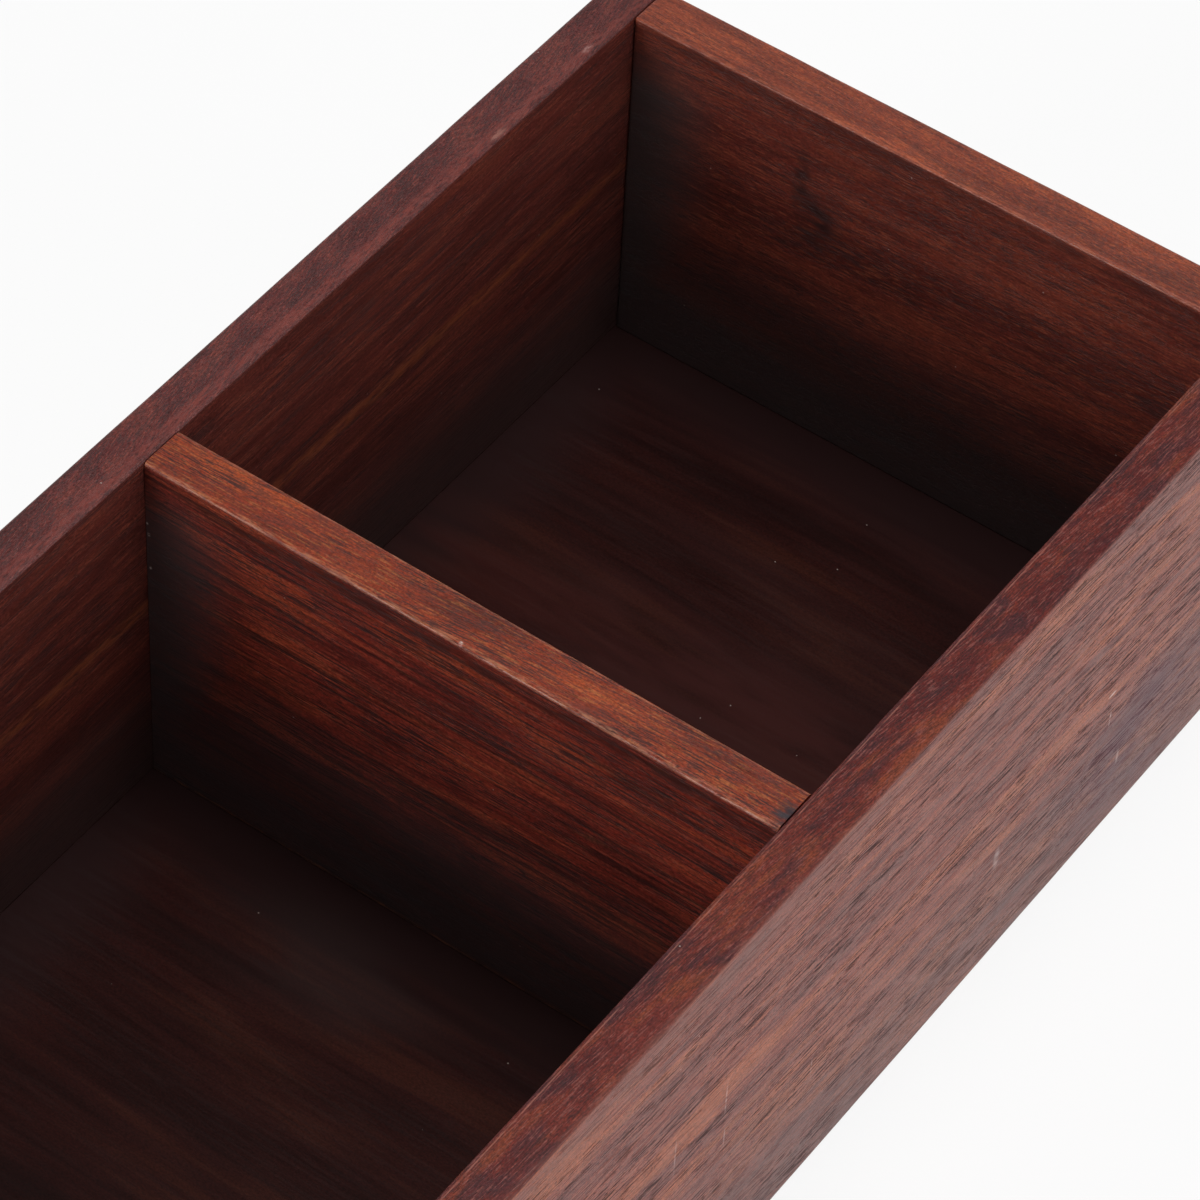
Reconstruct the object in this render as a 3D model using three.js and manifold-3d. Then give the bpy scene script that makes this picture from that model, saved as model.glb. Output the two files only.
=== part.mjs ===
// Tea bag organizer: an open-topped wooden box with one row of equal compartments.
// Two long walls run the full length. End walls and dividers are butted between them on blind dowels,
// and the bottom panel is held in a groove around the four walls.
// Millimetres, +Z up. X runs along the box, the front wall is on the -Y side,
// and the origin is the centre of the base, at the height the walls stand on.

import * as THREE from "three";
import { RoundedBoxGeometry } from "three/addons/geometries/RoundedBoxGeometry.js";
import { mergeVertices } from "three/addons/utils/BufferGeometryUtils.js";
import Module from "manifold-3d";

// Clear space inside
const COMPARTMENTS = 3;
const COMPARTMENT_LENGTH = 91.3;
const INNER_WIDTH = 90;

// Boards
const HEIGHT = 60.6;
const LONG_WALL_THICKNESS = 6.3;
const END_WALL_THICKNESS = 6.8;
const DIVIDER_THICKNESS = 6.7;
const DIVIDER_DROP = 0.15; // a divider's top lies this far below the wall tops
const EDGE_RADIUS = 0.4; // every board's edges are eased to this
const EDGE_STEPS = 2;
const GLUE_LINE = 0.1; // between butted faces

// Bottom panel and its groove
const PANEL_THICKNESS = 3.2;
const PANEL_LIFT = 2; // base to the panel's underside
const GROOVE_DEPTH = 2.5;
const PANEL_SIDE_CLEARANCE = 0.3; // room for the panel to swell
const PANEL_FACE_CLEARANCE = 0.15;

// Blind dowels in the butt joints
const DOWEL_DIAMETER = 3;
const DOWEL_LENGTH = 16;
const DOWEL_CHAMFER = 0.4;
const DOWEL_SIDES = 12;
const DOWEL_SKIN = 2.5; // wood between a dowel's end and the long wall's outer face
const DOWEL_FROM_BASE = 17;
const DOWEL_FROM_TOP = 13;
const DOWEL_SIDE_CLEARANCE = 0.15;
const DOWEL_END_CLEARANCE = 0.4;

const dividerCount = COMPARTMENTS - 1;
const innerLength = COMPARTMENTS * COMPARTMENT_LENGTH + dividerCount * DIVIDER_THICKNESS;
const length = innerLength + 2 * END_WALL_THICKNESS;
const panelTop = PANEL_LIFT + PANEL_THICKNESS;

const wasm = await Module();
wasm.setup();

// A closed geometry as a solid that can be cut.
function solidOf(geometry) {
  const bare = geometry.clone();
  bare.deleteAttribute("normal");
  bare.deleteAttribute("uv");
  const merged = mergeVertices(bare);
  return new wasm.Manifold(
    new wasm.Mesh({
      numProp: 3,
      vertProperties: new Float32Array(merged.attributes.position.array),
      triVerts: new Uint32Array(merged.index.array),
    }),
  );
}

// A cut solid as a geometry that can be drawn.
function geometryOf(solid) {
  const mesh = solid.getMesh();
  const geometry = new THREE.BufferGeometry();
  geometry.setAttribute("position", new THREE.BufferAttribute(mesh.vertProperties, 3));
  geometry.setIndex(new THREE.BufferAttribute(mesh.triVerts, 1));
  geometry.computeVertexNormals();
  return geometry;
}

// A board with eased edges. Cuts are geometries in the box's own frame.
function makeBoard(name, size, centre, cuts, material) {
  const blank = new RoundedBoxGeometry(size.x, size.y, size.z, EDGE_STEPS, EDGE_RADIUS);
  const solid = cuts.reduce(
    (wood, cut) => wood.subtract(solidOf(cut.clone().translate(-centre.x, -centre.y, -centre.z))),
    solidOf(blank),
  );
  const board = new THREE.Mesh(geometryOf(solid), material);
  board.name = name;
  board.position.copy(centre);
  return board;
}

// The boards that cross the box, from left to right.
const crossBoards = [
  {
    name: "left_end",
    thickness: END_WALL_THICKNESS,
    x: -(innerLength + END_WALL_THICKNESS) / 2,
  },
];
for (let i = 1; i <= dividerCount; i += 1) {
  crossBoards.push({
    name: `divider_${i}`,
    thickness: DIVIDER_THICKNESS,
    x: -innerLength / 2 + i * (COMPARTMENT_LENGTH + DIVIDER_THICKNESS) - DIVIDER_THICKNESS / 2,
  });
}
crossBoards.push({
  name: "right_end",
  thickness: END_WALL_THICKNESS,
  x: (innerLength + END_WALL_THICKNESS) / 2,
});

// Two dowels at each end of a cross board, each with the hole it sits in.
const sides = [
  { name: "front", sign: -1 },
  { name: "back", sign: 1 },
];
const levels = [
  { name: "lower", z: DOWEL_FROM_BASE },
  { name: "upper", z: HEIGHT - DOWEL_FROM_TOP },
];
const dowelInWall = LONG_WALL_THICKNESS - DOWEL_SKIN;
const dowels = crossBoards.flatMap((board) =>
  sides.flatMap((side) =>
    levels.map((level) => {
      const y = side.sign * (INNER_WIDTH / 2 + dowelInWall - DOWEL_LENGTH / 2);
      const centre = new THREE.Vector3(board.x, y, level.z);
      const holeRadius = DOWEL_DIAMETER / 2 + DOWEL_SIDE_CLEARANCE;
      const holeLength = DOWEL_LENGTH + 2 * DOWEL_END_CLEARANCE;
      const hole = new THREE.CylinderGeometry(holeRadius, holeRadius, holeLength, DOWEL_SIDES);
      hole.translate(centre.x, centre.y, centre.z);
      return {
        name: `dowel_${board.name}_${side.name}_${level.name}`,
        board: board.name,
        side: side.name,
        centre,
        hole,
      };
    }),
  ),
);

// The panel fills the clear space and reaches into the walls' groove.
const panelSize = new THREE.Vector3(
  innerLength + 2 * (GROOVE_DEPTH - PANEL_SIDE_CLEARANCE),
  INNER_WIDTH + 2 * (GROOVE_DEPTH - PANEL_SIDE_CLEARANCE),
  PANEL_THICKNESS,
);
const panelCentre = new THREE.Vector3(0, 0, PANEL_LIFT + PANEL_THICKNESS / 2);
const groove = new THREE.BoxGeometry(
  innerLength + 2 * GROOVE_DEPTH,
  INNER_WIDTH + 2 * GROOVE_DEPTH,
  PANEL_THICKNESS + 2 * PANEL_FACE_CLEARANCE,
);
groove.translate(panelCentre.x, panelCentre.y, panelCentre.z);

// Stained and lacquered boards, darker inside on the panel, and bare pale dowels.
const longWallWood = () => new THREE.MeshStandardMaterial({ color: 0x5a2a22, roughness: 0.42, metalness: 0 });
const crossBoardWood = () => new THREE.MeshStandardMaterial({ color: 0x6a3020, roughness: 0.45, metalness: 0 });
const panelWood = () => new THREE.MeshStandardMaterial({ color: 0x331a15, roughness: 0.4, metalness: 0 });
const dowelWood = () => new THREE.MeshStandardMaterial({ color: 0xc9a878, roughness: 0.7, metalness: 0 });

const organizer = new THREE.Group();
organizer.name = "tea_bag_organizer";

// Long walls
for (const side of sides) {
  organizer.add(
    makeBoard(
      `${side.name}_wall`,
      new THREE.Vector3(length, LONG_WALL_THICKNESS, HEIGHT),
      new THREE.Vector3(0, side.sign * (INNER_WIDTH + LONG_WALL_THICKNESS) / 2, HEIGHT / 2),
      [groove, ...dowels.filter((dowel) => dowel.side === side.name).map((dowel) => dowel.hole)],
      longWallWood(),
    ),
  );
}

// End walls stand on the base, dividers stand on the panel.
for (const board of crossBoards) {
  const isEnd = board.name.endsWith("_end");
  const foot = isEnd ? 0 : panelTop + GLUE_LINE;
  const top = isEnd ? HEIGHT : HEIGHT - DIVIDER_DROP;
  const holes = dowels.filter((dowel) => dowel.board === board.name).map((dowel) => dowel.hole);
  organizer.add(
    makeBoard(
      isEnd ? `${board.name}_wall` : board.name,
      new THREE.Vector3(board.thickness, INNER_WIDTH - 2 * GLUE_LINE, top - foot),
      new THREE.Vector3(board.x, 0, (foot + top) / 2),
      isEnd ? [groove, ...holes] : holes,
      crossBoardWood(),
    ),
  );
}

// Bottom panel
const panel = new THREE.Mesh(new THREE.BoxGeometry(panelSize.x, panelSize.y, panelSize.z), panelWood());
panel.name = "bottom_panel";
panel.position.copy(panelCentre);
organizer.add(panel);

// Dowels, turned about their own length with chamfered ends
const dowelRadius = DOWEL_DIAMETER / 2;
const dowelEnd = DOWEL_LENGTH / 2;
const dowelProfile = [
  new THREE.Vector2(0, -dowelEnd),
  new THREE.Vector2(dowelRadius - DOWEL_CHAMFER, -dowelEnd),
  new THREE.Vector2(dowelRadius, -dowelEnd + DOWEL_CHAMFER),
  new THREE.Vector2(dowelRadius, dowelEnd - DOWEL_CHAMFER),
  new THREE.Vector2(dowelRadius - DOWEL_CHAMFER, dowelEnd),
  new THREE.Vector2(0, dowelEnd),
];
for (const { name, centre } of dowels) {
  const dowel = new THREE.Mesh(new THREE.LatheGeometry(dowelProfile, DOWEL_SIDES), dowelWood());
  dowel.name = name;
  dowel.position.copy(centre);
  organizer.add(dowel);
}

export default organizer;
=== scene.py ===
import math
from types import SimpleNamespace

import bmesh
import bpy
from mathutils import Matrix, Vector, noise


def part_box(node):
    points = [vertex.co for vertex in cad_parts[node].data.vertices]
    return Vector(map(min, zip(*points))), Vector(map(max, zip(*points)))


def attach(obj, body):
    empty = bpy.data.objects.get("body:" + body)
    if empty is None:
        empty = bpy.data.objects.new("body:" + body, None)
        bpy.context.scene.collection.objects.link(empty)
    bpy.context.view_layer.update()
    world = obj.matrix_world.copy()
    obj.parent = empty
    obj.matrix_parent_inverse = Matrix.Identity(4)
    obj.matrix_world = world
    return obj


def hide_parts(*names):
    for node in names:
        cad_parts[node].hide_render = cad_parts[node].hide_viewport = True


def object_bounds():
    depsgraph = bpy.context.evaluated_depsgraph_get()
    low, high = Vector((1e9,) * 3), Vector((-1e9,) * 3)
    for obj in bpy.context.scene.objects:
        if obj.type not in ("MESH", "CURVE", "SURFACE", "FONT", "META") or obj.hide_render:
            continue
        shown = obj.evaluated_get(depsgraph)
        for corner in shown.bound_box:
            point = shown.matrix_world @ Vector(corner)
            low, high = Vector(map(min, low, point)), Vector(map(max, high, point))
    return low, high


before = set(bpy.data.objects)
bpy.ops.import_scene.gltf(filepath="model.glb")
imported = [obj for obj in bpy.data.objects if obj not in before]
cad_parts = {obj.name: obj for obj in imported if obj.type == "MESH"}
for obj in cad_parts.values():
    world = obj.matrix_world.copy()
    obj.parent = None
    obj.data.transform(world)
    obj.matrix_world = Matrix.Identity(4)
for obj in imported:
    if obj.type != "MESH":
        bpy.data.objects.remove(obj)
cad_low, cad_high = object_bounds()


# Long walls
# Two full-length boards of open-pored red-brown hardwood, planed, stained and lacquered, with the grain
# along the box. A groove near the foot of each takes the bottom panel, and blind holes take the dowels
# of the cross boards.

MM = 0.001
X, Y, Z = range(3)
LONG_WALL_ROUNDING = 0.4 * MM  # every arris is rounded to this with sandpaper
ROUNDING_STEPS = 4
ARRIS_ROWS = (0.8 * MM, 1.8 * MM)  # rows of points beside an arris
BOARD_ROW = 6 * MM  # rows of points over the rest of a board
ARRIS_REACH = 0.9 * MM  # how far from an arris its wear is felt
RUB_DEPTH = 0.06 * MM  # most that sanding by hand takes off an arris beyond its rounding
RUB_LENGTH = 7 * MM  # along an arris, from a deep rub to a light one
PANEL_FACE_CLEARANCE = 0.15 * MM
PANEL_SIDE_CLEARANCE = 0.3 * MM
DOWEL_SIDE_CLEARANCE = 0.15 * MM
DOWEL_END_CLEARANCE = 0.4 * MM
HOLE_SIDES = 16
SHARP_CUT = math.radians(40)  # a saw or drill leaves edges sharper than this
DOWELS = sorted(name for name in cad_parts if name.startswith("dowel_"))


def object_from(shape, name):
    """The bmesh as an object at the origin, its place in its mesh."""
    mesh = bpy.data.meshes.new(name)
    shape.to_mesh(mesh)
    shape.free()
    made = bpy.data.objects.new(name, mesh)
    bpy.context.scene.collection.objects.link(made)
    return made


def add_block(shape, low, high):
    """A square block between two corners, added to the bmesh."""
    block = bmesh.ops.create_cube(shape, size=1)["verts"]
    bmesh.ops.scale(shape, vec=high - low, verts=block)
    bmesh.ops.translate(shape, vec=(low + high) / 2, verts=block)


def sawn_board(node):
    """The node's board, square all round, as a bmesh."""
    shape = bmesh.new()
    add_block(shape, *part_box(node))
    return shape


def round_edges(shape, edges, radius):
    """Takes the edges of the bmesh down to a quarter round."""
    bmesh.ops.bevel(
        shape, geom=edges, offset=radius, offset_type="OFFSET", segments=ROUNDING_STEPS,
        profile=0.5, affect="EDGES", material=-1,
    )


def groove_cutter():
    """The slab that a saw takes out of the walls to let the panel in."""
    low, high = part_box("bottom_panel")
    room = Vector((PANEL_SIDE_CLEARANCE, PANEL_SIDE_CLEARANCE, PANEL_FACE_CLEARANCE))
    shape = bmesh.new()
    add_block(shape, low - room, high + room)
    return object_from(shape, "groove_cutter")


def hole_cutter():
    """The drill's path for every dowel, along the width of the box."""
    along_width = Matrix.Rotation(math.radians(90), 3, "X")
    shape = bmesh.new()
    for dowel in DOWELS:
        low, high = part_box(dowel)
        radius = (high.x - low.x) / 2 + DOWEL_SIDE_CLEARANCE
        depth = high.y - low.y + 2 * DOWEL_END_CLEARANCE
        drill = bmesh.ops.create_cone(
            shape, cap_ends=True, segments=HOLE_SIDES, radius1=radius, radius2=radius, depth=depth
        )["verts"]
        bmesh.ops.rotate(shape, cent=(0, 0, 0), matrix=along_width, verts=drill)
        bmesh.ops.translate(shape, vec=(low + high) / 2, verts=drill)
    return object_from(shape, "hole_cutter")


def rows_across(low, high):
    """Where rows of points cross a board between two of its faces: close by the arrises, even between."""
    beside = [row for row in ARRIS_ROWS if 2 * row < high - low]
    count = int((high - low) / BOARD_ROW)
    even = [low + (high - low) * i / count for i in range(1, count)]
    return [low + row for row in beside] + even + [high - row for row in beside]


def rub_arrises(shape, low, high, exposed):
    """Sands the arrises between the exposed axes unevenly, and keeps how near each point is to one."""
    nearness = shape.verts.layers.float.new("arris")
    for point in shape.verts:
        gaps = sorted((min(point.co[a] - low[a], high[a] - point.co[a]), a) for a in exposed)
        near = max(0, 1 - gaps[1][0] / ARRIS_REACH)
        point[nearness] = near
        unevenness = 0.5 + 0.5 * noise.noise(point.co / RUB_LENGTH)
        rub = RUB_DEPTH * near * unevenness
        for gap, axis in gaps[:2]:
            inward = 1 if point.co[axis] - low[axis] == gap else -1
            point.co[axis] += inward * rub


def joined_board(shape, node, exposed, grooved):
    """The shaped board as an object, with its groove and holes cut and its arrises rubbed."""
    low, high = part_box(node)
    for axis in (X, Y, Z):
        across = Vector((0, 0, 0))
        across[axis] = 1
        for row in rows_across(low[axis], high[axis]):
            everything = [*shape.verts, *shape.edges, *shape.faces]
            bmesh.ops.bisect_plane(shape, geom=everything, plane_co=across * row, plane_no=across)
    board = object_from(shape, node + "_board")
    cutters = [hole_cutter(), groove_cutter()] if grooved else [hole_cutter()]
    for cutter in cutters:
        cut = board.modifiers.new(cutter.name, "BOOLEAN")
        cut.operation = "DIFFERENCE"
        cut.solver = "EXACT"
        cut.object = cutter
    shape = bmesh.new()
    shape.from_object(board, bpy.context.evaluated_depsgraph_get())
    board.modifiers.clear()
    for cutter in cutters:
        bpy.data.objects.remove(cutter)
    rub_arrises(shape, low, high, exposed)
    for face in shape.faces:
        face.smooth = True
    for edge in shape.edges:
        edge.smooth = edge.calc_face_angle(0) < SHARP_CUT
    shape.to_mesh(board.data)
    shape.free()
    return board


# Sockets of a Mix node, which has the same names for places and for colours
MIX_SHARE = 0
MIX_PLACES = (4, 5)
MIX_COLOURS = (6, 7)
MIX_PLACE_OUT = 1
MIX_COLOUR_OUT = 2


def bare_material(name):
    """A material with no nodes yet."""
    material = bpy.data.materials.new(name)
    material.use_nodes = True
    material.node_tree.nodes.clear()
    return material


def add_node(tree, kind, sockets=None, **settings):
    """A shader node with its settings made and its sockets set or linked."""
    made = tree.nodes.new("ShaderNode" + kind)
    for setting, value in settings.items():
        setattr(made, setting, value)
    for socket, value in (sockets or {}).items():
        if isinstance(value, bpy.types.NodeSocket):
            tree.links.new(value, made.inputs[socket])
        else:
            made.inputs[socket].default_value = value
    return made


def maths(tree, operation, *values):
    """One step of arithmetic on up to three values."""
    return add_node(tree, "Math", dict(enumerate(values)), operation=operation).outputs[0]


def times(tree, first, second):
    """The product of two values."""
    return maths(tree, "MULTIPLY", first, second)


def ramp(tree, value, start, end, most=1.0):
    """Smoothly from 0 at start to most at end."""
    sockets = {"Value": value, "From Min": start, "From Max": end, "To Max": most}
    return add_node(tree, "MapRange", sockets, interpolation_type="SMOOTHSTEP").outputs["Result"]


def rgba(colour):
    """An opaque colour, as sockets take it."""
    return (*colour, 1.0)


def coat(tree, colour, share, tint, blend_type="MIX"):
    """The colour under a coat of the tint that covers a share of it."""
    sockets = {MIX_SHARE: share, MIX_COLOURS[0]: colour, MIX_COLOURS[1]: rgba(tint)}
    mixed = add_node(tree, "Mix", sockets, data_type="RGBA", blend_type=blend_type)
    return mixed.outputs[MIX_COLOUR_OUT]


def moved(tree, place, shift):
    """The place after a shift."""
    return add_node(tree, "VectorMath", {0: place, 1: shift}, operation="ADD").outputs[0]


def scaled(tree, place, factors):
    """The place with each axis multiplied by its factor."""
    return add_node(tree, "VectorMath", {0: place, 1: factors}, operation="MULTIPLY").outputs[0]


def distance_of(tree, place):
    """How far the place is from zero."""
    return add_node(tree, "VectorMath", {0: place}, operation="LENGTH").outputs["Value"]


def drawn_out(tree, place, size):
    """The place in units of a mark with that length along the grain and that width."""
    length, width = size
    return scaled(tree, place, (1 / length, 1 / width, 1 / width))


def mottle(tree, place, size, detail=2.0, roughness=0.5):
    """Soft random marks of that length and width."""
    unit = drawn_out(tree, place, size)
    sockets = {"Vector": unit, "Scale": 1.0, "Detail": detail, "Roughness": roughness}
    return add_node(tree, "TexNoise", sockets).outputs["Fac"]


DASH_CORE = 0.45  # share of a dash that is full


def dashes(tree, place, size, reach):
    """Separate short dashes, each the core of a cell of that size. A larger reach makes them larger."""
    sockets = {"Vector": drawn_out(tree, place, size), "Scale": 1.0}
    distance = add_node(tree, "TexVoronoi", sockets).outputs["Distance"]
    return ramp(tree, distance, reach, reach * DASH_CORE)


EDGE_TILT = (0.15, 0.5)  # upward part of a normal, where an upper edge begins and where it is full


def facing_up(tree):
    """1 on upper edges, 0 on upright faces."""
    normal = add_node(tree, "NewGeometry").outputs["Normal"]
    return ramp(tree, add_node(tree, "SeparateXYZ", {0: normal}).outputs["Z"], *EDGE_TILT)


def face_or_edge(tree, upward, face, edge):
    """A strength that is one value on faces and another on upper edges."""
    return maths(tree, "MULTIPLY_ADD", upward, edge - face, face)


def along_grain(tree, place, turn, cut_from):
    """The place in the log, where the grain runs along X."""
    sockets = {"Vector": place, "Rotation": turn, "Location": cut_from}
    return add_node(tree, "Mapping", sockets).outputs[0]


WANDER_SIZE = (120 * MM, 30 * MM)
WANDER_DEPTH = 5 * MM


def along_fibres(tree, place, face_grain, upward, look):
    """The place along fibres that wander. On upper edges they come out at an angle and show shorter."""
    shorter, narrower = look.edge_finer
    edge_grain = along_grain(tree, place, look.edge_turn, look.cut_from)
    edge_grain = scaled(tree, edge_grain, (shorter, narrower, narrower))
    sockets = {MIX_SHARE: upward, MIX_PLACES[0]: face_grain, MIX_PLACES[1]: edge_grain}
    log = add_node(tree, "Mix", sockets, data_type="VECTOR").outputs[MIX_PLACE_OUT]
    sockets = {"Vector": drawn_out(tree, log, WANDER_SIZE), "Scale": 1.0, "Detail": 2.0}
    wander = add_node(tree, "TexNoise", sockets).outputs["Color"]
    sockets = {0: wander, 1: (0, WANDER_DEPTH, WANDER_DEPTH), 2: log}
    return add_node(tree, "VectorMath", sockets, operation="MULTIPLY_ADD").outputs[0]


FROM_HEART = (0, -38 * MM, 21 * MM)  # from the heart of the tree to the log's own line
RING_WIDTH = 5 * MM
PATCH_SIZE = (26 * MM, 3.6 * MM)
STRAND_SIZE = (14 * MM, 0.5 * MM)
RING_SHARE = 0.35
PATCH_SHARE = 0.43
STRAND_SHARE = 0.22
DARK_TONE = 0.42
MIDDLE_TONE = 0.5
PALE_TONE = 0.58


def growth_tone(tree, fibre, strands, figure):
    """Growth bands round the heart of the tree, outside the board, broken up by patches and strands."""
    sockets = {0: fibre, 1: (0, 1, 1), 2: FROM_HEART}
    from_heart = add_node(tree, "VectorMath", sockets, operation="MULTIPLY_ADD").outputs[0]
    rings = maths(tree, "DIVIDE", distance_of(tree, from_heart), RING_WIDTH)
    sockets = {"W": rings, "Scale": 1.0, "Detail": 3.0, "Roughness": 0.6}
    bands = add_node(tree, "TexNoise", sockets, noise_dimensions="1D").outputs["Fac"]
    patches = mottle(tree, fibre, PATCH_SIZE)
    tone = maths(tree, "MULTIPLY_ADD", bands, RING_SHARE, times(tree, strands, STRAND_SHARE))
    tone = maths(tree, "MULTIPLY_ADD", patches, PATCH_SHARE, tone)
    from_middle = maths(tree, "SUBTRACT", tone, MIDDLE_TONE)
    return maths(tree, "MULTIPLY_ADD", from_middle, figure, MIDDLE_TONE)


SMOKE_SHIFT = (0.31, 0.17, 0.23)  # shifts keep one kind of mark from following another
SMOKE_TONES = (0.48, 0.64)


def smoky_streaks(tree, fibre, upward, look):
    """Dim streaks that lie over the growth bands."""
    place = moved(tree, fibre, SMOKE_SHIFT)
    streaks = mottle(tree, place, look.smoke_size, detail=3.0, roughness=0.6)
    most = face_or_edge(tree, upward, look.smoke_share, look.edge_smoke)
    return times(tree, ramp(tree, streaks, *SMOKE_TONES), most)


TICK_SHIFT = (0.07, 0.19, 0.11)
TICK_LENGTH = 0.3  # of a pore line's
TICK_WIDTH = 0.8  # of a pore line's
LINE_TONES = (0.47, 0.39)
TICK_TONES = (0.4, 0.33)
CROWD_SHIFT = (0.13, 0.29, 0.07)
CROWD_SIZE = (26 * MM, 3 * MM)
CROWD_TONES = (0.36, 0.58)
SPARSE_PORES = 0.4  # strength of pores where they are sparse
PORE_SHADE = 0.2  # of the deepest stain


def open_pores(tree, fibre, lines, upward, look):
    """Fine lines and short ticks of open pores, crowded here and sparse there."""
    length, width = look.pore_size
    tick_size = (TICK_LENGTH * length, TICK_WIDTH * width)
    ticks = mottle(tree, moved(tree, fibre, TICK_SHIFT), tick_size, detail=1.0)
    crowds = ramp(tree, mottle(tree, moved(tree, fibre, CROWD_SHIFT), CROWD_SIZE), *CROWD_TONES)
    crowding = maths(tree, "MULTIPLY_ADD", crowds, 1 - SPARSE_PORES, SPARSE_PORES)
    pores = maths(tree, "MAXIMUM", ramp(tree, lines, *LINE_TONES), ramp(tree, ticks, *TICK_TONES))
    left_open = face_or_edge(tree, upward, 1.0, look.edge_pores)
    return times(tree, pores, times(tree, crowding, left_open))


RIDGE_TONES = (0.55, 0.68)


def pale_ridges(tree, lines, upward, look):
    """Ridges between the pore lines, where sanding took the stain off again."""
    most = face_or_edge(tree, upward, look.ridge_share, look.edge_flecks)
    return times(tree, ramp(tree, lines, *RIDGE_TONES), most)


SAND_SIZE = (0.4 * MM, 0.22 * MM)
SAND_TONES = (0.3, 0.7)


def gritty(tree, colour, sand, grit):
    """The colour made darker and paler by that share, speck by speck."""
    low, high = SAND_TONES
    sockets = {"Value": sand, "From Min": low, "From Max": high, "To Min": 1 - grit, "To Max": 1 + grit}
    shade = add_node(tree, "MapRange", sockets).outputs[0]
    return add_node(tree, "VectorMath", {0: colour, "Scale": shade}, operation="SCALE").outputs[0]


FOOT_SHADE_COLOUR = (0.11, 0.06, 0.058)
FOOT_SHADE_HEIGHTS = (32 * MM, 4 * MM)  # where it begins and where it is full


def painted_foot_shade(tree, place, share):
    """Painted shade, greyer and darker, that thickens towards the foot of a board."""
    height = add_node(tree, "SeparateXYZ", {0: place}).outputs["Z"]
    return ramp(tree, height, *FOOT_SHADE_HEIGHTS, share)


CORNER_REACH = 16 * MM  # how far the painted shade spreads from an inside corner
CORNER_CORE = 1.6 * MM  # within this it is full
CORNER_SKIN = (-1 * MM, -0.3 * MM)  # depth in the wood where it begins and where it is full
CORNER_HEIGHTS = (60 * MM, 48 * MM)  # it fades out towards the rim
OUTER_CELL = 1.0  # compartments are counted from the middle one


def inside_corner(tree, place, rise, upright):
    """How deep a place lies in the inside corners of a compartment, from 0 out on its faces to 1, for the
    painted corner shade.

    The rise is the reach up from the floor. Without upright, the standing corners beside cross boards
    don't count.
    """
    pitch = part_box("divider_2")[0].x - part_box("divider_1")[0].x
    half_length = (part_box("divider_2")[0].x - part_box("divider_1")[1].x) / 2
    half_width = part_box("back_wall")[0].y
    floor_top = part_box("bottom_panel")[1].z
    axes = add_node(tree, "SeparateXYZ", {0: place}).outputs
    cell = maths(tree, "ROUND", maths(tree, "DIVIDE", axes["X"], pitch))
    cell = maths(tree, "MAXIMUM", maths(tree, "MINIMUM", cell, OUTER_CELL), -OUTER_CELL)
    from_middle = maths(tree, "ABSOLUTE", maths(tree, "MULTIPLY_ADD", cell, -pitch, axes["X"]))
    from_board = maths(tree, "SUBTRACT", half_length, from_middle)
    from_wall = maths(tree, "SUBTRACT", half_width, axes["Y"])
    from_floor = maths(tree, "SUBTRACT", axes["Z"], floor_top)
    inside = maths(tree, "MINIMUM", maths(tree, "MINIMUM", from_board, from_wall), from_floor)
    up = times(tree, from_floor, CORNER_REACH / rise)
    beside = maths(tree, "ADD", from_board, 0.0 if upright else CORNER_REACH)
    nearer = maths(tree, "MINIMUM", beside, from_wall)
    further = maths(tree, "MAXIMUM", beside, from_wall)
    second = maths(tree, "MAXIMUM", nearer, maths(tree, "MINIMUM", further, up))
    depth = ramp(tree, second, CORNER_REACH, CORNER_CORE)
    depth = times(tree, depth, ramp(tree, inside, *CORNER_SKIN))
    return times(tree, depth, ramp(tree, axes["Z"], *CORNER_HEIGHTS))


def mark(centre, reach, tint, share, gap):
    """A mark (stain, scratch, speck, painted highlight, painted shade line): its centre, reach along each
    axis and breaks in millimetres.
    """
    centre = [c * MM for c in centre]
    reach = [r * MM for r in reach]
    return SimpleNamespace(centre=centre, reach=reach, tint=tint, share=share, gap=gap * MM)


MARK_CORE = 0.2  # share of a mark's reach that is full
BREAK_LENGTH = 4  # breaks in a mark are this many times as long as wide
BREAK_TONES = (0.3, 0.6)


def marked(tree, place, face_grain, spot):
    """The share of a mark: full at its centre, gone at its reach, and broken up along the grain."""
    unit = scaled(tree, moved(tree, place, [-c for c in spot.centre]), [1 / r for r in spot.reach])
    whole = ramp(tree, distance_of(tree, unit), 1.0, MARK_CORE)
    breaks = mottle(tree, face_grain, (BREAK_LENGTH * spot.gap, spot.gap), detail=3.0)
    return times(tree, whole, ramp(tree, breaks, *BREAK_TONES, spot.share))


WEAR_HIGHLIGHT_SIZE = (2.4 * MM, 0.35 * MM)
WEAR_HIGHLIGHT_TONES = (0.42, 0.66)


def worn_highlit_arrises(tree, face_grain, look):
    """Specks along the arrises where lacquer and stain are rubbed off, and a painted highlight along them.
    """
    arris = add_node(tree, "Attribute", attribute_name="arris").outputs["Fac"]
    specks = mottle(tree, face_grain, WEAR_HIGHLIGHT_SIZE, detail=5.0, roughness=0.7)
    near = ramp(tree, arris, *look.wear_reach, look.wear_share)
    return times(tree, near, ramp(tree, specks, *WEAR_HIGHLIGHT_TONES))


LACQUER_ROUGHNESS = 0.28
STRAND_ROUGHNESS = 0.12
PORE_ROUGHNESS = 0.35
PORE_DEPTH = 0.06 * MM
SAND_HEIGHT = 0.8  # of a pore's depth


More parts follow.
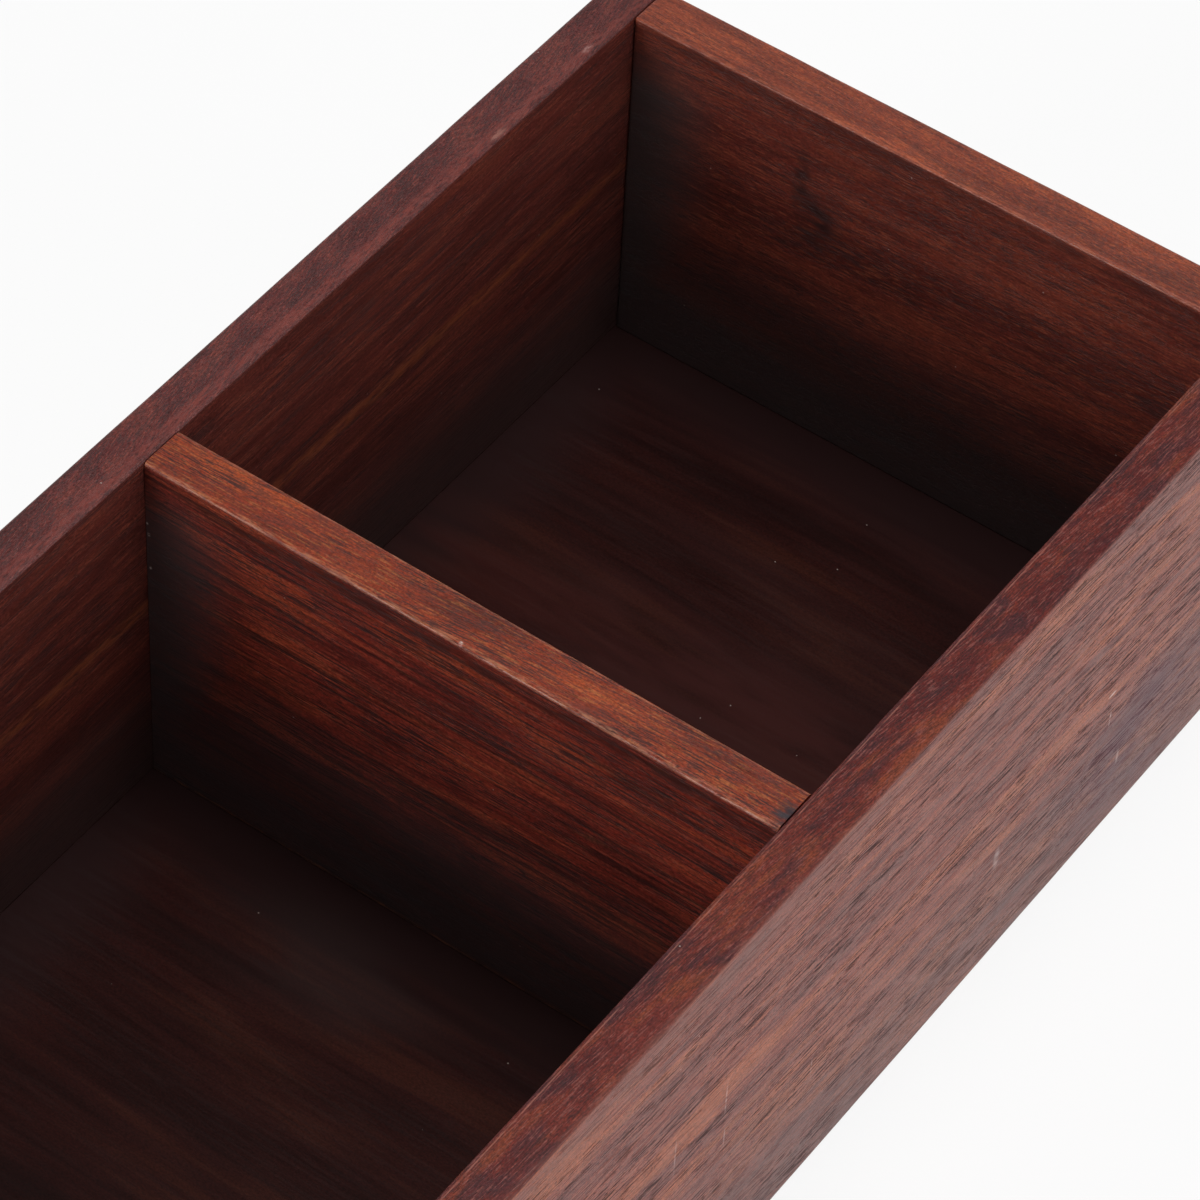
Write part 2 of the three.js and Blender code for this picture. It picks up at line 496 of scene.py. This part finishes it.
def lacquered(tree, colour, strands, pores, sand, look):
    """Satin lacquer over the colour, duller in the pores and sunk into them."""
    height = maths(tree, "MULTIPLY_ADD", pores, -1.0, times(tree, sand, SAND_HEIGHT))
    sockets = {"Height": height, "Strength": look.relief, "Distance": PORE_DEPTH}
    bump = add_node(tree, "Bump", sockets).outputs[0]
    roughness = maths(tree, "MULTIPLY_ADD", strands, STRAND_ROUGHNESS, LACQUER_ROUGHNESS)
    roughness = maths(tree, "MULTIPLY_ADD", pores, PORE_ROUGHNESS, roughness)
    sockets = {"Base Color": colour, "Roughness": roughness, "Normal": bump}
    sockets["Specular IOR Level"] = look.shine
    return add_node(tree, "BsdfPrincipled", sockets).outputs[0]


DUST_COLOUR = (0.6, 0.5, 0.45)
DUST_SPACING = (5 * MM, 5 * MM)
DUST_REACH = 0.028  # of the spacing
COMMON_FINISH = {
    "film_share": 0.0,  # of painted shade, greyer and darker, low on the faces
    "corner_share": 0.0,  # of painted shade darkening the inside corners
    "corner_rise": 32 * MM,  # how far it reaches up from the floor
    "corner_upright": True,  # whether it is in the standing corners too
    "wear_share": 0.0,  # of stain rubbed off the arrises, and of painted highlight along them
    "dust_share": 0.5,  # of dust specks
    "shine": 0.35,
    "relief": 0.4,
    "marks": [],
}


def stained_wood(name, finish):
    """Stained, lacquered and used open-pored wood. Entries of a finish go before the common ones."""
    look = SimpleNamespace(**COMMON_FINISH | finish)
    material = bare_material(name)
    tree = material.node_tree
    place = add_node(tree, "TexCoord").outputs["Object"]
    upward = facing_up(tree)
    face_grain = along_grain(tree, place, look.grain_turn, look.cut_from)
    fibre = along_fibres(tree, place, face_grain, upward, look)

    # The wood's own figure under the stain
    strands = mottle(tree, fibre, STRAND_SIZE, detail=3.0, roughness=0.6)
    tone = growth_tone(tree, fibre, strands, face_or_edge(tree, upward, 1.0, look.edge_figure))
    colour = coat(tree, rgba(look.deep), ramp(tree, tone, DARK_TONE, MIDDLE_TONE), look.body)
    colour = coat(tree, colour, ramp(tree, tone, MIDDLE_TONE, PALE_TONE), look.pale)
    colour = coat(tree, colour, smoky_streaks(tree, fibre, upward, look), look.smoke)
    lines = mottle(tree, fibre, look.pore_size, detail=1.0)
    pores = open_pores(tree, fibre, lines, upward, look)
    pore_stain = [PORE_SHADE * c for c in look.deep]
    colour = coat(tree, colour, times(tree, pores, look.pore_share), pore_stain)
    colour = coat(tree, colour, pale_ridges(tree, lines, upward, look), look.worn)
    # Painted light and shade: upper edges made lighter or darker than the faces
    colour = coat(tree, colour, upward, look.edge_stain, "MULTIPLY")

    # What sanding, dust and use have left on it
    sand = mottle(tree, face_grain, SAND_SIZE, roughness=0.6)
    colour = gritty(tree, colour, sand, look.grit)
    # Painted shade: greyer and darker towards the foot of each board
    if look.film_share:
        colour = coat(tree, colour, painted_foot_shade(tree, place, look.film_share), FOOT_SHADE_COLOUR)
    # Painted shade: darker in the inside corners of each compartment
    if look.corner_share:
        corner = inside_corner(tree, place, look.corner_rise, look.corner_upright)
        colour = coat(tree, colour, times(tree, corner, look.corner_share), look.corner_stain)
    for spot in look.marks:
        colour = coat(tree, colour, marked(tree, place, face_grain, spot), spot.tint)
    # Real wear and a painted highlight along the arrises
    if look.wear_share:
        colour = coat(tree, colour, worn_highlit_arrises(tree, face_grain, look), look.worn)
    dust = dashes(tree, place, DUST_SPACING, DUST_REACH)
    colour = coat(tree, colour, times(tree, dust, look.dust_share), DUST_COLOUR)

    shader = lacquered(tree, colour, strands, pores, sand, look)
    add_node(tree, "OutputMaterial", {"Surface": shader})
    return material


FRONT_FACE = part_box("front_wall")[0].y / MM
BACK_INNER_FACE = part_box("back_wall")[0].y / MM
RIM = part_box("front_wall")[1].z / MM
SCRATCH = (0.62, 0.48, 0.45)
NICK = (0.7, 0.56, 0.52)
LONG_WALLS = {
    "front_wall": {
        "grain_turn": (0, math.radians(-5), 0),  # how the grain lies on the faces
        "edge_turn": (0, 0, math.radians(5)),  # and on the upper edge
        "cut_from": (0.02, 0.0, 0.0),  # place in the log
        "deep": (0.168, 0.028, 0.018),  # stain in dark growth bands
        "body": (0.252, 0.0438, 0.022),  # in most of the wood
        "pale": (0.37, 0.083, 0.026),  # and in pale bands
        "smoke": (0.11, 0.032, 0.028),
        "worn": (0.42, 0.15, 0.09),  # wood with its stain sanded or rubbed off; also the colour of the painted arris highlight
        "edge_stain": (0.5, 0.47, 0.66),  # painted light and shade: by this the colours are multiplied on the upper edge
        "edge_figure": 1.0,  # strength of growth bands there
        "edge_finer": (2.4, 1.0),  # how many times shorter and narrower the marks are there
        "edge_pores": 0.6,
        "edge_flecks": 0.6,
        "edge_smoke": 0.75,
        "smoke_size": (22 * MM, 2.6 * MM),
        "smoke_share": 0.34,
        "pore_size": (5 * MM, 0.17 * MM),
        "pore_share": 0.9,
        "ridge_share": 0.35,
        "grit": 0.45,
        "film_share": 0.45,
        "shine": 0.22,
        "marks": [
            # Dulled band under the outer arris, painted highlight along the inner one, grey cloud at the
            # right
            mark((10, FRONT_FACE, 58.5), (90, 1, 5), (0.21, 0.07, 0.05), share=0.5, gap=0.8),
            # Painted highlight: a pale thread along the inner arris
            mark((0, -45.6, RIM), (400, 0.12, 1), (0.4, 0.16, 0.12), share=0.5, gap=0.8),
            mark((121, FRONT_FACE, 14), (27, 3, 18), (0.085, 0.016, 0.03), share=0.8, gap=2.5),
            # Scratches and nicks
            mark((29.3, FRONT_FACE, 33.5), (0.2, 0.5, 4.0), SCRATCH, share=0.45, gap=0.6),
            mark((29.6, FRONT_FACE, 26.0), (0.2, 0.5, 2.5), SCRATCH, share=0.35, gap=0.6),
            mark((47.8, FRONT_FACE, 19.6), (0.2, 0.5, 2.2), SCRATCH, share=0.4, gap=0.6),
            mark((19.4, FRONT_FACE, 33.0), (0.2, 0.5, 5.0), SCRATCH, share=0.35, gap=0.6),
            mark((111.6, FRONT_FACE, 27.5), (1.2, 0.5, 0.35), NICK, share=0.7, gap=0.5),
            mark((112.0, FRONT_FACE, 22.5), (0.25, 0.5, 2.0), NICK, share=0.6, gap=0.5),
            mark((115.8, FRONT_FACE, 12.0), (0.4, 0.5, 2.0), SCRATCH, share=0.4, gap=0.6),
            mark((87.0, FRONT_FACE, 20.0), (0.9, 0.5, 2.5), (0.6, 0.46, 0.43), share=0.5, gap=0.9),
        ],
    },
    "back_wall": {
        "grain_turn": (0, math.radians(1), math.radians(1)),
        "edge_turn": (0, 0, math.radians(-9)),
        "cut_from": (0.5, 0.03, 0.013),
        "deep": (0.09, 0.018, 0.0135),
        "body": (0.122, 0.024, 0.018),
        "pale": (0.16, 0.034, 0.022),
        "smoke": (0.07, 0.017, 0.014),
        "worn": (0.3, 0.075, 0.045),
        "edge_stain": (0.76, 0.82, 1.02),
        "edge_figure": 1.3,
        "edge_finer": (4.0, 1.0),
        "edge_pores": 0.8,
        "edge_flecks": 0.35,
        "edge_smoke": 0.3,
        "smoke_size": (30 * MM, 1.5 * MM),
        "smoke_share": 0.6,
        "pore_size": (7 * MM, 0.2 * MM),
        "pore_share": 0.55,
        "ridge_share": 0.35,
        "grit": 0.5,
        "film_share": 0.45,
        "corner_stain": (0.06, 0.034, 0.032),
        "corner_share": 0.8,
        "corner_rise": 22 * MM,
        "corner_upright": False,
        "marks": [
            # Pale streak on the inner face, redder band along the inner arris, two scuffs on the rim
            mark((60, BACK_INNER_FACE, 35.5), (170, 1.5, 1.8), (0.26, 0.065, 0.026), share=0.7, gap=0.6),
            mark((60, 46.1, RIM), (300, 1.2, 1), (0.2, 0.044, 0.034), share=0.6, gap=0.4),
            mark((135.2, 46.1, RIM), (1.3, 0.6, 1), (0.36, 0.2, 0.18), share=0.7, gap=0.25),
            mark((115.8, 45.7, RIM), (2.2, 0.6, 1), (0.3, 0.13, 0.1), share=0.7, gap=0.3),
        ],
    },
}
for wall, finish in LONG_WALLS.items():
    shape = sawn_board(wall)
    round_edges(shape, shape.edges[:], LONG_WALL_ROUNDING)
    board = joined_board(shape, wall, exposed=(X, Y, Z), grooved=True)
    board.data.materials.append(stained_wood(wall + "_wood", finish))
    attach(board, "root")
    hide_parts(wall)


# Bottom panel
# One thin board with its grain across the box, coloured nearly black-brown, darker than the walls; that
# darkness is painted shade.
# It floats dry in the groove of the four walls and carries the dividers.

PANEL_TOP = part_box("bottom_panel")[1].z / MM
PANEL_FINISH = {
    "grain_turn": (0, 0, math.radians(-90)),
    "edge_turn": (0, 0, math.radians(-90)),
    "cut_from": (0.2, 0.4, 0.1),
    # Painted shade: these near-black colours stand in for the shade low in the box
    "deep": (0.0138, 0.0034, 0.0029),
    "body": (0.0205, 0.0047, 0.0038),
    "pale": (0.031, 0.0076, 0.0048),
    "smoke": (0.009, 0.0028, 0.0026),
    "worn": (0.08, 0.022, 0.014),
    "edge_stain": (1, 1, 1),
    "edge_figure": 0.9,
    "edge_finer": (0.7, 0.45),
    "edge_pores": 0.2,
    "edge_flecks": 0.0,
    "edge_smoke": 0.5,
    "smoke_size": (50 * MM, 1.9 * MM),
    "smoke_share": 0.6,
    "pore_size": (7 * MM, 0.2 * MM),
    "pore_share": 0.06,
    "ridge_share": 0.0,
    "grit": 0.3,
    "corner_stain": (0.0185, 0.0079, 0.0078),
    "corner_share": 0.9,
    "dust_share": 0.35,
    "shine": 0.1,
    "relief": 0.1,
    "marks": [
        # A red streak, and a painted pale haze of light in two compartments
        mark((98, -5, PANEL_TOP), (13, 70, 2), (0.042, 0.0095, 0.0078), share=0.8, gap=5),
        # Painted light: a pale grey haze over the floor
        mark((34, 9, PANEL_TOP), (12, 24, 2), (0.032, 0.02, 0.019), share=0.4, gap=8),
        mark((98, 0, PANEL_TOP), (60, 60, 2), (0.034, 0.014, 0.0135), share=0.25, gap=10),
    ],
}
panel_shape = sawn_board("bottom_panel")
panel = object_from(panel_shape, "bottom_panel_board")
panel.data.materials.append(stained_wood("bottom_panel_wood", PANEL_FINISH))
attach(panel, "root")
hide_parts("bottom_panel")


# End walls
# Two boards of the same wood with their grain across the box, butted between the long walls, glued and
# dowelled. The groove for the panel runs right through them, and their tops are flush with the long walls.

END_WALL_ROUNDING = 0.4 * MM
END_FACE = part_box("right_end_wall")[0].x / MM
SMUDGE = (0.035, 0.012, 0.011)
END_WALLS = {
    "left_end_wall": {"cut_from": (0.7, 0.2, 0.3)},
    "right_end_wall": {
        "cut_from": (0.1, 0.6, 0.2),
        "marks": [
            # A smudge, narrow above and wide below, and a painted shade line under the inner arris
            mark((END_FACE, 18.1, 48), (1, 2.0, 7), SMUDGE, share=0.9, gap=1),
            mark((END_FACE, 15.4, 42.5), (1, 4.4, 8), SMUDGE, share=1.0, gap=1),
            # Painted shade: a dark line under the bright inner arris
            mark((END_FACE, 0, 59.2), (0.5, 90, 1.4), (0.06, 0.014, 0.011), share=0.7, gap=1.2),
        ],
    },
}
END_FINISH = {
    "grain_turn": (math.radians(2), 0, math.radians(-90)),
    "edge_turn": (0, 0, math.radians(-88)),
    "deep": (0.094, 0.016, 0.0114),
    "body": (0.135, 0.0242, 0.0166),
    "pale": (0.185, 0.035, 0.0208),
    "smoke": (0.06, 0.014, 0.011),
    "worn": (0.36, 0.1, 0.05),
    "edge_stain": (1.44, 1.6, 1.22),
    "edge_figure": 1.1,
    "edge_finer": (1.6, 1.0),
    "edge_pores": 0.8,
    "edge_flecks": 0.2,
    "edge_smoke": 0.4,
    "smoke_size": (20 * MM, 1.2 * MM),
    "smoke_share": 0.45,
    "pore_size": (2.4 * MM, 0.19 * MM),
    "pore_share": 0.6,
    "ridge_share": 0.35,
    "grit": 0.35,
    "corner_stain": (0.066, 0.054, 0.054),
    "corner_share": 0.88,
    "corner_rise": 30 * MM,
    "wear_share": 0.6,
    "wear_reach": (0.35, 0.75),
}
for wall, cut in END_WALLS.items():
    shape = sawn_board(wall)
    round_edges(shape, shape.edges[:], END_WALL_ROUNDING)
    board = joined_board(shape, wall, exposed=(X, Z), grooved=True)
    board.data.materials.append(stained_wood(wall + "_wood", END_FINISH | cut))
    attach(board, "root")
    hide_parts(wall)


# Dividers
# Two boards like the end walls, standing on the panel and butted between the long walls on dowels.
# Only their upper arrises are rounded. They lie a little below the walls, and fingers wear them pale; a
# painted highlight lies along those arrises too.

DIVIDER_ROUNDING = 0.6 * MM
TOUCH = 0.001 * MM
DIVIDER_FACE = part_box("divider_2")[0].x / MM
SPECK = (0.7, 0.6, 0.55)
DIVIDERS = {
    "divider_1": {"cut_from": (0.9, 0.5, 0.4)},
    "divider_2": {
        "cut_from": (0.4, 0.9, 0.6),
        "marks": [
            # A smudge at the front end, a painted shade line under the near arris, a fleck on that arris
            mark((47.8, -44.6, 60.4), (2.6, 2.2, 2), (0.03, 0.02, 0.025), share=1.0, gap=0.8),
            # Painted shade: a dark line under the bright near arris
            mark((DIVIDER_FACE, -10, 58.4), (0.5, 90, 1.5), (0.045, 0.011, 0.009), share=0.85, gap=1.2),
            mark((46.0, -0.9, 60.3), (0.4, 0.35, 0.35), (0.8, 0.7, 0.65), share=0.9, gap=0.25),
            # Pale specks in the corner at the back wall
            mark((DIVIDER_FACE, 44.7, 50.2), (0.5, 0.25, 0.3), SPECK, share=1.0, gap=0.3),
            mark((DIVIDER_FACE, 44.5, 48.4), (0.5, 0.35, 0.4), SPECK, share=1.0, gap=0.3),
            mark((DIVIDER_FACE, 44.4, 42.6), (0.5, 0.25, 0.3), SPECK, share=1.0, gap=0.3),
        ],
    },
}
DIVIDER_FINISH = {
    "grain_turn": (math.radians(1), 0, math.radians(-90)),
    "edge_turn": (0, 0, math.radians(-92)),
    "deep": (0.11, 0.0145, 0.0105),
    "body": (0.195, 0.0255, 0.016),
    "pale": (0.28, 0.044, 0.02),
    "smoke": (0.03, 0.008, 0.0075),
    "worn": (0.42, 0.17, 0.09),
    "edge_stain": (1.03, 1.12, 0.7),
    "edge_figure": 0.6,
    "edge_finer": (1.6, 1.0),
    "edge_pores": 0.9,
    "edge_flecks": 0.25,
    "edge_smoke": 0.15,
    "smoke_size": (26 * MM, 0.8 * MM),
    "smoke_share": 0.75,
    "pore_size": (6 * MM, 0.2 * MM),
    "pore_share": 0.9,
    "ridge_share": 0.15,
    "grit": 0.5,
    "corner_stain": (0.08, 0.062, 0.064),
    "corner_share": 0.85,
    "wear_share": 0.75,
    "wear_reach": (0.25, 0.7),
}


def upper_arrises(shape, top):
    """The edges along the width at the top of a cross board."""
    at_top = [edge for edge in shape.edges if all(abs(end.co.z - top) < TOUCH for end in edge.verts)]
    return [edge for edge in at_top if abs(edge.verts[0].co.y - edge.verts[1].co.y) > TOUCH]


for wall, cut in DIVIDERS.items():
    shape = sawn_board(wall)
    round_edges(shape, upper_arrises(shape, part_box(wall)[1].z), DIVIDER_ROUNDING)
    board = joined_board(shape, wall, exposed=(X, Z), grooved=False)
    board.data.materials.append(stained_wood(wall + "_wood", DIVIDER_FINISH | cut))
    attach(board, "root")
    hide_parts(wall)


# Dowels
# Sixteen turned pins of bare pale hardwood, glued into blind holes, two at each end of every cross board.
# They lie hidden in the joints.

PIN_DARK = (0.46, 0.3, 0.15)
PIN_PALE = (0.62, 0.45, 0.26)
PIN_FLECK = (0.36, 0.22, 0.1)
PIN_STRAND_SIZE = (6 * MM, 0.35 * MM)
PIN_STRAND_TONES = (0.35, 0.65)
PIN_FLECK_SIZE = (1.6 * MM, 0.4 * MM)
PIN_FLECK_REACH = 0.34  # of its size
PIN_FLECK_SHARE = 0.5
PIN_ROUGHNESS = 0.85  # most, on pale strands
PIN_ROUGHNESS_TONES = (0.3, 0.7)
PIN_RELIEF = 0.3
PIN_RELIEF_DEPTH = 0.1 * MM
PIN_GRAIN_TURN = (0, 0, math.radians(-90))


def pale_pin_wood():
    """Bare turned wood with fine strands and flecks along the pin."""
    material = bare_material("dowel_pin_wood")
    tree = material.node_tree
    place = add_node(tree, "TexCoord").outputs["Object"]
    log = add_node(tree, "Mapping", {"Vector": place, "Rotation": PIN_GRAIN_TURN}).outputs[0]
    strands = mottle(tree, log, PIN_STRAND_SIZE, detail=3.0)
    flecks = dashes(tree, log, PIN_FLECK_SIZE, PIN_FLECK_REACH)
    colour = coat(tree, rgba(PIN_DARK), ramp(tree, strands, *PIN_STRAND_TONES), PIN_PALE)
    colour = coat(tree, colour, times(tree, flecks, PIN_FLECK_SHARE), PIN_FLECK)
    sockets = {"Height": strands, "Strength": PIN_RELIEF, "Distance": PIN_RELIEF_DEPTH}
    bump = add_node(tree, "Bump", sockets).outputs[0]
    roughness = ramp(tree, strands, *PIN_ROUGHNESS_TONES, PIN_ROUGHNESS)
    sockets = {"Base Color": colour, "Roughness": roughness, "Normal": bump}
    shader = add_node(tree, "BsdfPrincipled", sockets)
    add_node(tree, "OutputMaterial", {"Surface": shader.outputs[0]})
    return material


pin_wood = pale_pin_wood()
for dowel in DOWELS:
    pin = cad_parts[dowel]
    pin.data.materials.clear()
    pin.data.materials.append(pin_wood)


# Floor and backdrop
# A plain white table top, made as one large matt sheet just under the walls' lower edges.
# The eye and reflections see it nearly white, and the box still shades it.

WHITE = (1, 1, 1)
FLOOR_REACH = 12
FLOOR_DROP = 0.05 * MM
FLOOR_WHITE = (0.85, 0.85, 0.85)
GLOW_SHARE = 0.85


def seen_in_gloss(tree):
    """1 for rays in reflections or through glass."""
    path = add_node(tree, "LightPath").outputs
    return maths(tree, "MAXIMUM", path["Is Glossy Ray"], path["Is Transmission Ray"])


def seen_by_eye(tree):
    """1 for rays straight from the camera."""
    return add_node(tree, "LightPath").outputs["Is Camera Ray"]


table_white = bare_material("table_white")
tree = table_white.node_tree
matt = add_node(tree, "BsdfDiffuse", {"Color": rgba(FLOOR_WHITE)}).outputs[0]
glow = add_node(tree, "Emission", {"Color": rgba(WHITE), "Strength": 1.0}).outputs[0]
seen = maths(tree, "MAXIMUM", seen_by_eye(tree), seen_in_gloss(tree))
mixed = add_node(tree, "MixShader", {0: times(tree, seen, GLOW_SHARE), 1: matt, 2: glow}).outputs[0]
add_node(tree, "OutputMaterial", {"Surface": mixed})
floor_shape = bmesh.new()
bmesh.ops.create_grid(floor_shape, x_segments=1, y_segments=1, size=FLOOR_REACH)
bmesh.ops.translate(floor_shape, vec=(0, 0, cad_low.z - FLOOR_DROP), verts=floor_shape.verts)
floor = object_from(floor_shape, "table_top")
floor.data.materials.append(table_white)


# Light
# A white backdrop all round under a dim ceiling, a soft box high over the box, a lower one to its left
# and a wide weak one low in front.

AMBIENT = 0.16
BACKDROP_TOP = (0.35, 0.65)  # upward part of a direction, where the backdrop fades into the ceiling
SOFT_BOXES = {
    "high_box": {"place": (0.15, -0.1, 1.3), "width": 0.6, "height": 0.6, "power": 12.0},
    "left_box": {"place": (-1.2, 0.33, 0.4), "width": 0.5, "height": 0.4, "power": 7.5},
    "front_box": {"place": (0.1, -1.2, 0.36), "width": 1.2, "height": 0.5, "power": 5.0},
}

world = bpy.data.worlds.new("studio")
bpy.context.scene.world = world
world.use_nodes = True
tree = world.node_tree
tree.nodes.clear()
direction = add_node(tree, "TexCoord").outputs["Generated"]
height = add_node(tree, "SeparateXYZ", {0: direction}).outputs["Z"]
fade_from, fade_to = BACKDROP_TOP
sockets = {"Value": height, "From Min": fade_from, "From Max": fade_to, "To Min": 1.0, "To Max": AMBIENT}
backdrop = add_node(tree, "MapRange", sockets).outputs[0]
sockets = {"Value": seen_in_gloss(tree), "To Min": AMBIENT, "To Max": backdrop}
level = add_node(tree, "MapRange", sockets).outputs[0]
level = maths(tree, "MAXIMUM", level, seen_by_eye(tree))
surround = add_node(tree, "Background", {"Color": rgba(WHITE), "Strength": level}).outputs[0]
add_node(tree, "OutputWorld", {"Surface": surround})


def soft_box(name, place, width, height, power):
    """A rectangular lamp turned to face the middle of the box."""
    lamp = bpy.data.lights.new(name, "AREA")
    lamp.shape = "RECTANGLE"
    lamp.size = width
    lamp.size_y = height
    lamp.energy = power
    stand = bpy.data.objects.new(name, lamp)
    stand.location = place
    middle = (cad_low + cad_high) / 2
    stand.rotation_euler = (middle - Vector(place)).to_track_quat("-Z", "Y").to_euler()
    bpy.context.scene.collection.objects.link(stand)


for name, box in SOFT_BOXES.items():
    soft_box(name, **box)


# Camera
# A long lens on a stand at the front left, well above the box, held a little off level.
# It looks at the rim near the second divider and takes in about half of the box.

VIEW_AIM = Vector((60.9, -9.6, 60.6)) * MM
VIEW_AZIMUTH = math.radians(-56.712)
VIEW_ELEVATION = math.radians(48.082)
VIEW_ROLL = math.radians(3.497)
VIEW_DISTANCE = 623.3 * MM
LENS = 163.7
SENSOR = 36
NEAREST = 0.01
FURTHEST = 100

lens = bpy.data.cameras.new("camera")
lens.lens = LENS
lens.sensor_width = SENSOR
lens.clip_start = NEAREST
lens.clip_end = FURTHEST
camera = bpy.data.objects.new("camera", lens)
bpy.context.scene.collection.objects.link(camera)
bpy.context.scene.camera = camera
level_back = Vector((math.sin(VIEW_AZIMUTH), -math.cos(VIEW_AZIMUTH), 0)) * math.cos(VIEW_ELEVATION)
back = level_back + Vector((0, 0, math.sin(VIEW_ELEVATION)))
camera.location = VIEW_AIM + back * VIEW_DISTANCE
turn = (-back).to_track_quat("-Z", "Y").to_matrix() @ Matrix.Rotation(VIEW_ROLL, 3, "Z")
camera.rotation_euler = turn.to_euler()

bpy.context.scene.view_settings.view_transform = "Standard"
